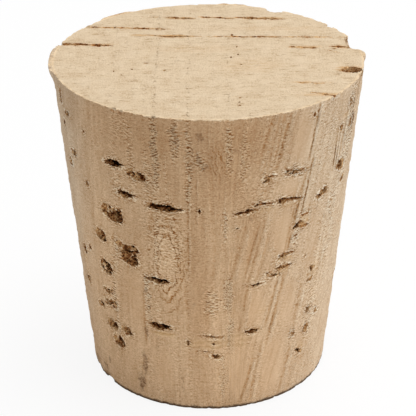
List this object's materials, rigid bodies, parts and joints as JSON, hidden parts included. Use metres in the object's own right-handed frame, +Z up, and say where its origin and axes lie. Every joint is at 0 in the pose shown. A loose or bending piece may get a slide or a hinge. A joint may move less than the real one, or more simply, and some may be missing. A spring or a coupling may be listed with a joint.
{
  "type": "cork stopper",
  "caption": "Solid tapered natural-cork stopper, round in section, wide end up, with open pores, cracks and chipped edges, that plugs a flask or jar neck.",
  "frame": {"origin": "centre of the narrow bottom end, which the stopper stands on", "axes": "+Z up along the taper's axis towards the wide end; -Y is the front; the bark's growth layers stand across X, so the pores run along X"},
  "size_m": [0.035, 0.035, 0.038],
  "materials": {
    "cork": "matte natural cork, cut and sanded, with brown open pores"
  },
  "bodies": {
    "root": {"stopper": "cork"}
  },
  "joints": []
}
